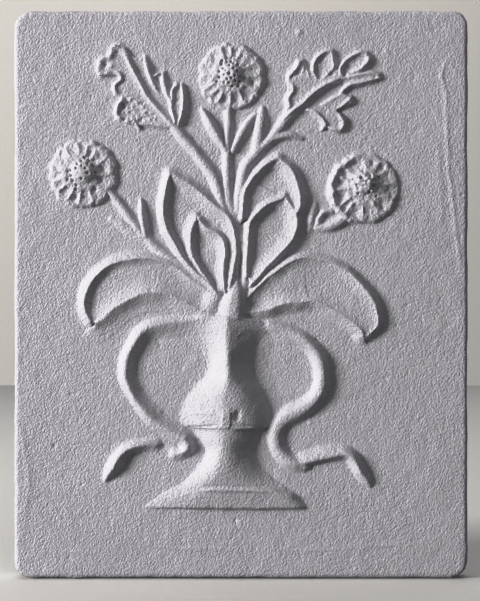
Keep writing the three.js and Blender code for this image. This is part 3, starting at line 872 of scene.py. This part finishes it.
# Petals are cupped between creased ridges. Each ridge gives its direction in degrees, anticlockwise from
# the right, how deep the petal after it is cupped, and the share of its length where it is deepest. The
# edge is curled up on the left. Holes are u, v, radius and depth. Pricks are made with a nail's point.
flowers = {
    "edgeHeight": 2.1,
    "petalHeight": 4.7,
    "domeHeight": 8.8,
    "domePower": 2.3,  # more makes a flatter top and a steeper side
    "petalStart": 0.85,  # share of the dome's radius
    "edge": 3.4,
    "notch": 0.045,  # share of the radius by which the edge draws in at a crease
    "curlAt": 0.84,  # shares of a petal's length
    "curlWidth": 0.17,
    "curlTurn": 5,  # degrees that the middle of the curl lies above the left
    "cupReach": 0.42,
    "cupPower": 0.7,  # less makes the cup wider and its creases sharper
    "petalFillet": 0.8,
    "domeFillet": 1.2,
    "rough": 0.45,
    "roughGrain": 1.7,
    "crinkle": 0.8,
    "crinkleGrain": 3,
    "lumpGrain": 1.9,
    "prick": 0.8,
    "prickDepth": 2.9,
    "prickRise": 0.4,  # of the plaster pushed up round it
    "all": [
        # on the left
        {
            "at": (-102.5, 235),
            "radius": 24.7,
            "domeAt": (-102.5, 236),
            "dome": 12.5,
            "curl": 0.3,
            "lumps": 0.35,
            "petals": [
                [32, 1.4, 0.3], [60, 2, 0.4], [80, 2.2, 0.6], [99, 2, 0.65], [126, 2, 0.7],
                [154, 1.4, 0.65], [177, 2, 0.65], [196, 2.2, 0.62], [215, 2.6, 0.5], [240, 2.6, 0.45],
                [263, 2.2, 0.4], [290, 1, 0.4], [323, 1.4, 0.3], [358, 1.4, 0.3],
            ],
            "holes": [
                [-89, 238.5, 2.1, 1.8], [-89.5, 230.5, 2.1, 1.8], [-94, 223.5, 2, 1.8],
                [-108, 217.5, 1.6, 1.6],
            ],
            "pricks": [
                [-103, 243.5], [-98, 244], [-101, 246], [-106, 241], [-99, 241.5], [-103, 239.5],
                [-107, 238], [-113, 236], [-111, 236.6], [-94.5, 236], [-99, 235], [-110.5, 233],
                [-113, 230.5], [-109.5, 230], [-103, 231], [-107, 227], [-100.5, 238], [-96, 240.5],
                [-107.5, 224.5],
            ],
        },
        # at the top
        {
            "at": (2.2, 303.2),
            "radius": 23.8,
            "domeAt": (1.5, 304.5),
            "dome": 12,
            "curl": 0.2,
            "lumps": 0.4,
            "petals": [
                [0, 1.4, 0.3], [32, 1, 0.4], [52, 1, 0.4], [72, 2, 0.5], [92, 2, 0.5], [111, 1.8, 0.65],
                [146, 2, 0.6], [177, 2, 0.7], [203, 1.6, 0.5], [222, 2.2, 0.5], [240, 2.9, 0.45],
                [266, 2.9, 0.45], [294, 2.6, 0.4], [330, 1.6, 0.3],
            ],
            "holes": [
                [16.3, 299, 1.8, 1.8], [18.2, 289.5, 1.2, 1.2], [-10.3, 317, 1.8, 1],
                [0.5, 304.8, 1.1, 1.6],
            ],
            "pricks": [
                [0.4, 305], [-3.4, 303.8], [0.7, 310.8], [3.6, 308.5], [0.4, 298.7], [7, 296.2],
                [2.6, 296.2], [-1, 313], [1.8, 313.4], [3.5, 312], [6.5, 311], [-3.6, 308.4],
                [-5, 311.5], [-6.5, 306.5], [4.5, 303.5], [6.2, 306.5], [-6.8, 302.4], [-3.2, 299],
                [5, 300], [8, 303], [2, 301.8], [-1, 301], [-4.6, 313.8], [7.6, 299.6], [-8.6, 299.4],
                [-2, 307.2], [2, 316],
            ],
        },
        # on the right, its edge curled up over its left petals
        {
            "at": (94.5, 224.5),
            "radius": 25.5,
            "domeAt": (95.5, 227.5),
            "dome": 13,
            "curl": 2,
            "lumps": 1.5,
            "petals": [
                [12, 1.6, 0.5], [40, 1.6, 0.5], [58, 1.2, 0.6], [84, 2.4, 0.4], [130, 3, 0.36],
                [152, 3, 0.36], [184, 2.8, 0.36], [218, 2.4, 0.4], [235, 2.4, 0.4], [269, 1.6, 0.4],
                [303, 1.6, 0.4], [340, 1.8, 0.5],
            ],
            "holes": [
                [101, 242, 1.4, 1.5], [108.4, 239, 1.8, 1.4], [107.8, 212, 2.2, 1.2],
                [87.5, 216, 1.8, 1.6],
            ],
            "pricks": [
                [105, 232], [96.5, 229.5], [94.5, 226], [89.5, 226.5], [98.5, 221.5], [103.4, 218.5],
                [91, 221], [99, 233], [92.4, 232], [94, 236.4], [101, 226], [87.5, 231],
            ],
        },
    ],
}


def modelFlower(flower):
    u, v = flower["at"]
    where = nearBox(np.array([u, v]), np.array([u, v]), flower["radius"] + 5)
    placeU = face["u"][where]
    placeV = face["v"][where]
    gap = np.hypot(placeU - u, placeV - v)
    angle = np.degrees(np.arctan2(placeV - v, placeU - u)) % 360
    ridges = np.array([petal[0] for petal in flower["petals"]])
    depths = np.array([petal[1] for petal in flower["petals"]])
    deepest = np.array([petal[2] for petal in flower["petals"]])
    petal = np.searchsorted(ridges, angle, side="right") - 1
    start = ridges[petal]
    width = (ridges[(petal + 1) % len(ridges)] - start) % 360
    across = np.sin(math.pi * ((angle - start) % 360) / width)
    crinkle = flowers["crinkle"] * softNoise(placeU, placeV, flowers["crinkleGrain"], seeds["crinkle"])
    outline = flower["radius"] * (1 - flowers["notch"] + flowers["notch"] * np.sqrt(across)) + crinkle
    inner = flower["dome"] * flowers["petalStart"]
    share = np.clip((gap - inner) / (outline - inner), 0, 1)
    rise = flowers["petalHeight"] - (flowers["petalHeight"] - flowers["edgeHeight"]) * share**2
    # 1 over the left side, and less towards the top and the bottom
    onLeft = np.clip(-1.8 * np.cos(np.radians(angle + flowers["curlTurn"])), 0, 1)
    rise += flower["curl"] * onLeft * np.exp(-(((share - flowers["curlAt"]) / flowers["curlWidth"]) ** 2))
    cup = np.clip(1 - ((share - deepest[petal]) / flowers["cupReach"]) ** 2, 0, 1)
    cup = depths[petal] * across ** flowers["cupPower"] * cup
    rough = softNoise(placeU, placeV, flowers["roughGrain"], seeds["rough"])
    cup += flowers["rough"] * rough * np.clip((outline - gap) / 2, 0, 1)
    inside = np.clip((outline - gap) / flowers["edge"], 0, 1)
    beyond = np.clip(gap - outline, 0, None)
    petals = (rise - cup) * np.sqrt(1 - (1 - inside) ** 2) - cutOff * beyond
    addForm(where, petals, flowers["petalFillet"])
    domeU, domeV = flower["domeAt"]
    gap = np.hypot(placeU - domeU, placeV - domeV) / flower["dome"]
    dome = flowers["domeHeight"] * (1 - np.clip(gap, 0, 2) ** flowers["domePower"])
    lumps = softNoise(placeU, placeV, flowers["lumpGrain"], seeds["lumps"])
    dome += flower["lumps"] * lumps * np.clip(1.5 - gap, 0, 1)
    addForm(where, dome, flowers["domeFillet"])
    for hole in flower["holes"]:
        push(*hole[:3], -hole[3])
    for prick in flower["pricks"]:
        push(*prick, flowers["prick"] * 2, flowers["prickRise"])
        push(*prick, flowers["prick"], -flowers["prickDepth"])


def modelFlowers():
    for flower in flowers["all"]:
        modelFlower(flower)


def nearestRadius(x, z):
    radii = slab["cornerRadii"]
    upper = np.where(x > 0, radii["topRight"], radii["topLeft"])
    lower = np.where(x > 0, radii["bottomRight"], radii["bottomLeft"])
    return np.where(z > 0, upper, lower)


# How far a place is inside the slab's outline grown by a margin, and the way out of it
def outlineAt(x, z, margin=0.0):
    radius = nearestRadius(x, z) + margin
    halfWidth = panelWidth / 2 + margin
    halfHeight = panelHeight / 2 + margin
    inX = np.clip(np.abs(x) - (halfWidth - radius), 0, None)
    inZ = np.clip(np.abs(z) - (halfHeight - radius), 0, None)
    inCorner = (inX > 0) & (inZ > 0)
    reach = np.maximum(np.hypot(inX, inZ), 1e-9)
    sideIsNearer = halfWidth - np.abs(x) < halfHeight - np.abs(z)
    toSide = np.minimum(halfWidth - np.abs(x), halfHeight - np.abs(z))
    inward = np.where(inCorner, radius - reach, toSide)
    outX = np.sign(x) * np.where(inCorner, inX / reach, sideIsNearer)
    outZ = np.sign(z) * np.where(inCorner, inZ / reach, ~sideIsNearer)
    return inward, outX, outZ


# Draws the square corners of the sheet in to round ones
def roundCorners(x, z, margin):
    radius = nearestRadius(x, z) + margin
    middleX = panelWidth / 2 + margin - radius
    middleZ = panelHeight / 2 + margin - radius
    inX = np.clip(np.abs(x) - middleX, 0, None)
    inZ = np.clip(np.abs(z) - middleZ, 0, None)
    pull = np.maximum(inX, inZ) / np.maximum(np.hypot(inX, inZ), 1e-9)
    inCorner = (inX > 0) & (inZ > 0)
    x = np.where(inCorner, np.sign(x) * (middleX + inX * pull), x)
    z = np.where(inCorner, np.sign(z) * (middleZ + inZ * pull), z)
    return x, z


# Wraps the rim of the sheet round the slab's front edge, and says how far each place falls behind the face
def wrapSheet(x, z):
    edge = slab["edgeRound"]
    margin = edge * (math.pi / 2 - 1)
    x, z = roundCorners(x, z, margin)
    inward, outX, outZ = outlineAt(x, z, margin)
    turn = np.clip(inward / edge, 0, math.pi / 2)
    onEdge = inward < edge * math.pi / 2
    shift = np.where(onEdge, inward - edge * (1 - np.cos(turn)) - margin, 0)
    return x + outX * shift, z + outZ * shift, edge * (1 - np.sin(turn))


# The sides are drawn back from the rim of the active sheet, and the back is closed flat.
def closeSlab():
    depth = (slab["thickness"] - slab["edgeRound"]) * mm
    bpy.ops.object.mode_set(mode="EDIT")
    bpy.ops.mesh.select_mode(type="EDGE")
    bpy.ops.mesh.select_all(action="DESELECT")
    bpy.ops.mesh.select_non_manifold()
    back = {"value": (0, depth / slab["sideSteps"], 0)}
    for _ in range(slab["sideSteps"]):
        bpy.ops.mesh.extrude_edges_move(TRANSFORM_OT_translate=back)
    bpy.ops.transform.resize(value=(1, 0, 1), center_override=(0, 0, 0))
    bpy.ops.mesh.edge_face_add()
    bpy.ops.mesh.select_all(action="SELECT")
    bpy.ops.mesh.normals_make_consistent(inside=False)
    bpy.ops.object.mode_set(mode="OBJECT")


# The sides wander a little, as a slab's do that was cast between loose boards.
def wanderSides(sheet):
    places = readPlaces(sheet)
    x = places[:, 0] / mm
    y = places[:, 1] / mm
    z = places[:, 2] / mm
    inward, outX, outZ = outlineAt(x, z)
    near = np.clip(1 - inward / slab["wobbleReach"], 0, 1)
    # each side reads its own stretch of the noise
    apartX = 90
    apartZ = 60
    along = np.where(np.abs(outX) > np.abs(outZ), z, x) + apartX * outX
    deep = y * 2 + apartZ * outZ
    shift = twoGrains(along, deep, slab["wobble"], slab["tremble"], seeds["sides"])
    shift *= slab["edgeWobble"] * near
    places[:, 0] += outX * shift * mm
    places[:, 2] += outZ * shift * mm
    writePlaces(sheet, places)


# The trowelled ground is not quite flat, and has small lumps, and pits where air came out of it.
ground = {
    # each how high, and its grain
    "swell": (0.35, 55),
    "lump": (0.16, 9),
    "grit": (0.15, 3.2),
    "pits": 260,
    "pitRadius": (0.5, 1.0),
    "pitDepth": (0.2, 0.7),
    "pimples": 180,
    "pimpleShare": 0.7,  # of a pit's depth
    # faint lines left by the edge of the trowel: points, half width, height
    "trowelled": [
        [
            [
                [155, 318], [150, 306], [152.5, 292], [154, 265],
                [155, 240], [158.5, 212], [161, 186], [163, 166],
            ],
            1.5, 0.5,
        ],
        [[[148, 262], [149, 225], [151, 190]], 2, 0.25],
        [[[-148, 60], [-141, 20], [-145, -8]], 1.8, 0.35],
        [[[-60, -27], [-30, -29.5], [8, -29]], 1.3, 0.3],
        [[[40, -31], [84, -29], [126, -26]], 1.3, 0.3],
        [[[-118, -31], [-88, -33]], 1.3, 0.3],
    ],
    # those that stand out: u, v, radius, height
    "marks": [
        [49.4, 334.4, 1.7, 1], [-123.6, 43.3, 1.2, -1], [-121.5, 294.4, 1, -0.8], [5, -9.2, 1.1, -0.9],
        [-97, 290, 0.9, -0.7], [57, 60, 1, 0.8], [62, 118, 1.1, -0.9], [118, 128, 1, -0.6],
        [-60, -22, 1, -0.6],
    ],
}


def roughenGround():
    u = face["u"]
    v = face["v"]
    for i, name in enumerate(("swell", "lump", "grit")):
        high, grain = ground[name]
        face["height"] += high * softNoise(u, v, grain, seeds["ground"] + i)
    draw = np.random.RandomState(seeds["pits"])
    for i in range(ground["pits"] + ground["pimples"]):
        pu = draw.uniform(u.min(), u.max())
        pv = draw.uniform(v.min(), v.max())
        radius = draw.uniform(*ground["pitRadius"])
        depth = draw.uniform(*ground["pitDepth"])
        push(pu, pv, radius, depth * ground["pimpleShare"] if i < ground["pimples"] else -depth)
    for mark in ground["marks"]:
        push(*mark)
    for line in ground["trowelled"]:
        score(*line)


# Lime plaster with sharp sand, brushed while it was green and left bare: chalky, without any shine, with a
# sandy grain and short slanting brush marks that catch the light from the side.
plaster = {
    "colour": "#dbd9dd",
    "washed": "#cfccd0",
    "sandColour": "#bebbc0",
    "roughness": 0.95,
    "specular": 0.2,
    "sandGrain": 1.0,
    "speck": 0.85,
    "specksFrom": 0.5,  # the levels of the noise between which a grain of sand comes to show
    "specksTo": 0.78,
    "gritGrain": 1.8,
    "gritShare": -0.28,  # of the relief
    "brushWidth": 1.1,  # a bristle's mark is finer, and is drawn as coarse as it has to be to show
    "brushLength": 2.0,
    "brushSlant": 58,  # degrees up from the panel's lower edge
    "washPatch": 38,
    "relief": 1.45,  # for the whole range of the noise, most of which is never reached
    "pinholes": 4.2,  # mm between them
    "pinholeWidth": 0.6,
    "pinholeShare": -0.3,  # of the relief
}


def linear(hexColour):
    parts = [int(hexColour[i : i + 2], 16) / 255 for i in (1, 3, 5)]
    return [c / 12.92 if c <= 0.04045 else ((c + 0.055) / 1.055) ** 2.4 for c in parts] + [1.0]


# Adds a node with its settings, and with its inputs set to values or linked from other nodes' outputs. An
# input is called by its name, or by its number after a low line.
def addNode(tree, kind, settings=None, **inputs):
    node = tree.nodes.new(kind)
    for name, value in (settings or {}).items():
        setattr(node, name, value)
    for name, value in inputs.items():
        socket = node.inputs[int(name[1:])] if name[0] == "_" else node.inputs[name.replace("_", " ")]
        if isinstance(value, bpy.types.NodeSocket):
            tree.links.new(value, socket)
        else:
            socket.default_value = value
    return node


# The scale of a pattern whose grain is so many millimetres
def perGrain(grain):
    return 1 / (grain * mm)


def limePlaster():
    material = bpy.data.materials.new("lime plaster, brushed")
    material.use_nodes = True
    tree = material.node_tree
    shader = tree.nodes["Principled BSDF"]
    place = addNode(tree, "ShaderNodeTexCoord").outputs["Object"]
    grain = {"Vector": place, "Scale": perGrain(plaster["sandGrain"]), "Detail": 3.0, "Roughness": 0.6}
    sand = addNode(tree, "ShaderNodeTexNoise", **grain)
    slant = (0, math.radians(plaster["brushSlant"]), 0)
    turned = addNode(tree, "ShaderNodeMapping", Vector=place, Rotation=slant)
    long = perGrain(plaster["brushLength"])
    thin = perGrain(plaster["brushWidth"])
    strokes = addNode(tree, "ShaderNodeMapping", Vector=turned.outputs[0], Scale=(long, thin, thin))
    bristles = {"Vector": strokes.outputs[0], "Scale": 1.0, "Detail": 2.0, "Roughness": 0.55}
    brushed = addNode(tree, "ShaderNodeTexNoise", **bristles)
    relief = addNode(
        tree,
        "ShaderNodeMix",
        {"data_type": "FLOAT"},
        _0=0.5,
        _2=sand.outputs["Fac"],
        _3=brushed.outputs["Fac"],
    )
    grit = addNode(tree, "ShaderNodeTexVoronoi", Vector=place, Scale=perGrain(plaster["gritGrain"]))
    relief = addNode(
        tree,
        "ShaderNodeMath",
        {"operation": "MULTIPLY_ADD"},
        _0=grit.outputs["Distance"],
        _1=plaster["gritShare"],
        _2=relief.outputs[0],
    )
    cells = addNode(tree, "ShaderNodeTexVoronoi", Vector=place, Scale=perGrain(plaster["pinholes"]))
    pinhole = addNode(
        tree,
        "ShaderNodeMapRange",
        {"interpolation_type": "SMOOTHSTEP"},
        _0=cells.outputs["Distance"],
        _1=0.0,
        _2=plaster["pinholeWidth"] / plaster["pinholes"],
        _3=plaster["pinholeShare"],
        _4=0.0,
    )
    relief = addNode(
        tree,
        "ShaderNodeMath",
        {"operation": "ADD"},
        _0=relief.outputs[0],
        _1=pinhole.outputs[0],
    )
    depth = plaster["relief"] * mm
    bump = addNode(tree, "ShaderNodeBump", Strength=1.0, Distance=depth, Height=relief.outputs[0])
    tree.links.new(bump.outputs[0], shader.inputs["Normal"])
    patch = perGrain(plaster["washPatch"])
    wash = addNode(tree, "ShaderNodeTexNoise", Vector=place, Scale=patch, Detail=4.0)
    tint = addNode(
        tree,
        "ShaderNodeMix",
        {"data_type": "RGBA"},
        _0=wash.outputs["Fac"],
        _6=linear(plaster["washed"]),
        _7=linear(plaster["colour"]),
    )
    speck = perGrain(plaster["speck"])
    specks = addNode(tree, "ShaderNodeTexNoise", Vector=place, Scale=speck, Detail=1.0)
    shows = addNode(
        tree,
        "ShaderNodeMapRange",
        _0=specks.outputs["Fac"],
        _1=plaster["specksFrom"],
        _2=plaster["specksTo"],
        _3=0.0,
        _4=1.0,
    )
    sanded = addNode(
        tree,
        "ShaderNodeMix",
        {"data_type": "RGBA"},
        _0=shows.outputs[0],
        _6=tint.outputs[2],
        _7=linear(plaster["sandColour"]),
    )
    tree.links.new(sanded.outputs[2], shader.inputs["Base Color"])
    shader.inputs["Roughness"].default_value = plaster["roughness"]
    shader.inputs["Specular IOR Level"].default_value = plaster["specular"]
    return material


# Matt paper, which shows as an even pale tone behind the plaster
def matt(name, colour):
    material = bpy.data.materials.new(name)
    material.diffuse_color = linear(colour)
    material.use_nodes = True
    material.node_tree.nodes["Principled BSDF"].inputs["Base Color"].default_value = linear(colour)
    material.node_tree.nodes["Principled BSDF"].inputs["Roughness"].default_value = 1.0
    return material


def countTriangles(piece):
    return sum(len(p.vertices) - 2 for p in piece.data.polygons)


# Hangs an area light at a place, turned to face another
def hangLight(name, at, aim, size, power):
    bpy.ops.object.light_add(type="AREA", location=at)
    lamp = bpy.context.object
    lamp.name = name
    lamp.rotation_euler = (Vector(at) - Vector(aim)).to_track_quat("Z", "Y").to_euler()
    lamp.data.size = size
    lamp.data.energy = power


print("modelling the plaster")
sheet, sheetX, sheetZ = laySheet()
x, z, fall = wrapSheet(sheetX, sheetZ)
face["u"] = x - drawing["vaseOffset"]
face["v"] = z + panelHeight / 2 - drawing["footMargin"]
face["height"] = np.zeros(len(x))
wander = twoGrains(face["u"], face["v"], drawing["wander"], drawing["shake"], seeds["wander"])
drift = twoGrains(face["u"], face["v"], drawing["wander"], drawing["shake"], seeds["drift"])
face["u"] = face["u"] + wander
face["v"] = face["v"] + drift

stages = (modelLeaves, modelSprays, modelSprigs, modelStems, modelFlowers, modelHandles, modelVase)
for stage in stages:
    stage()
    print("modelled:", stage.__name__)
roughenGround()
places = np.column_stack([x * mm, -(slab["thickness"] - fall + face["height"]) * mm, z * mm])
writePlaces(sheet, places)
closeSlab()
wanderSides(sheet)
triangles = countTriangles(sheet)
thin = sheet.modifiers.new("thin", "DECIMATE")
thin.ratio = slab["mostTriangles"] / triangles
bpy.ops.object.modifier_apply(modifier="thin")
bpy.ops.object.shade_smooth_by_angle(angle=math.radians(75))  # keeps the back's corner crisp
print("triangles:", triangles, "thinned to", countTriangles(sheet))
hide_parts("pargetted_panel")
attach(sheet, "root")

sheet.data.materials.append(limePlaster())
print("plaster finished")

# A floor just under the panel, and a backdrop far enough behind it for views of its back, in metres
room = {
    "floorSize": 8,
    "floorGap": 0.001,
    "floorColour": "#f4f2ee",
    "wallSize": 10,
    "wallBehind": 2.4,
    "wallColour": "#e4e1dc",
    "air": (0.55, 0.55, 0.58, 1),
    "airLight": 0.15,
}
floorLevel = cadBox[0].z - room["floorGap"]
bpy.ops.mesh.primitive_plane_add(size=room["floorSize"], location=(0, 0, floorLevel))
floor = bpy.context.object
floor.name = "floor"
floor.visible_diffuse = False
floor.data.materials.append(matt("pale floor paper", room["floorColour"]))
upright = (math.pi / 2, 0, 0)
wallPlace = (0, room["wallBehind"], 0)
bpy.ops.mesh.primitive_plane_add(size=room["wallSize"], location=wallPlace, rotation=upright)
wall = bpy.context.object
wall.name = "backdrop"
wall.visible_diffuse = False
wall.data.materials.append(matt("pale backdrop paper", room["wallColour"]))

# The camera looks straight at the panel, which lies in the picture between these pixels.
photo = {
    "width": 480,
    "height": 601,
    "panelLeft": 14,
    "panelRight": 468,
    "panelTop": 11.5,
    "panelBottom": 577.5,
    "lens": 90,  # mm
    "sensor": 36,  # mm, along the picture's longer side
}
perPixel = panelWidth * mm / (photo["panelRight"] - photo["panelLeft"])
cameraX = (photo["width"] / 2 - (photo["panelLeft"] + photo["panelRight"]) / 2) * perPixel
cameraZ = ((photo["panelTop"] + photo["panelBottom"]) / 2 - photo["height"] / 2) * perPixel
distance = photo["height"] * perPixel * photo["lens"] / photo["sensor"]
cameraPlace = (cameraX, -distance - slab["thickness"] * mm, cameraZ)
bpy.ops.object.camera_add(location=cameraPlace, rotation=upright)
camera = bpy.context.object
camera.data.lens = photo["lens"]
camera.data.sensor_width = photo["sensor"]
bpy.context.scene.camera = camera

# The window is to the left and a little above, and its light falls low across the face.
window = {"up": 12, "off": 28, "distance": 3.4}  # degrees up and off the face, metres away
up = math.radians(window["up"])
off = math.radians(window["off"])
towards = Vector((-math.cos(up) * math.cos(off), -math.sin(off), math.sin(up) * math.cos(off)))
# name, place, the place it faces, size in metres and power in watts
lamps = [
    ("window light", towards * window["distance"], (0, 0, 0), 0.95, 115),
    ("ceiling light", (0.15, -0.75, 1.05), (0, 0, 0), 0.8, 1.6),
    ("backdrop light", (0, 1.1, 1.9), (0, 2.1, -0.2), 2, 13),
]
for lamp in lamps:
    hangLight(*lamp)

world = bpy.data.worlds.new("pale room")
bpy.context.scene.world = world
world.use_nodes = True
background = world.node_tree.nodes["Background"]
background.inputs["Color"].default_value = room["air"]
background.inputs["Strength"].default_value = room["airLight"]

# The photograph's contrast: its shadows are deeper and its lights brighter than in a plain picture
contrast = ((0.055, 0.042), (0.16, 0.14), (0.35, 0.36), (0.62, 0.84))
look = bpy.context.scene.view_settings
look.view_transform = "Standard"
look.use_curve_mapping = True
for at, level in contrast:
    look.curve_mapping.curves[3].points.new(at, level)
look.curve_mapping.update()
print("room, camera and lights placed")
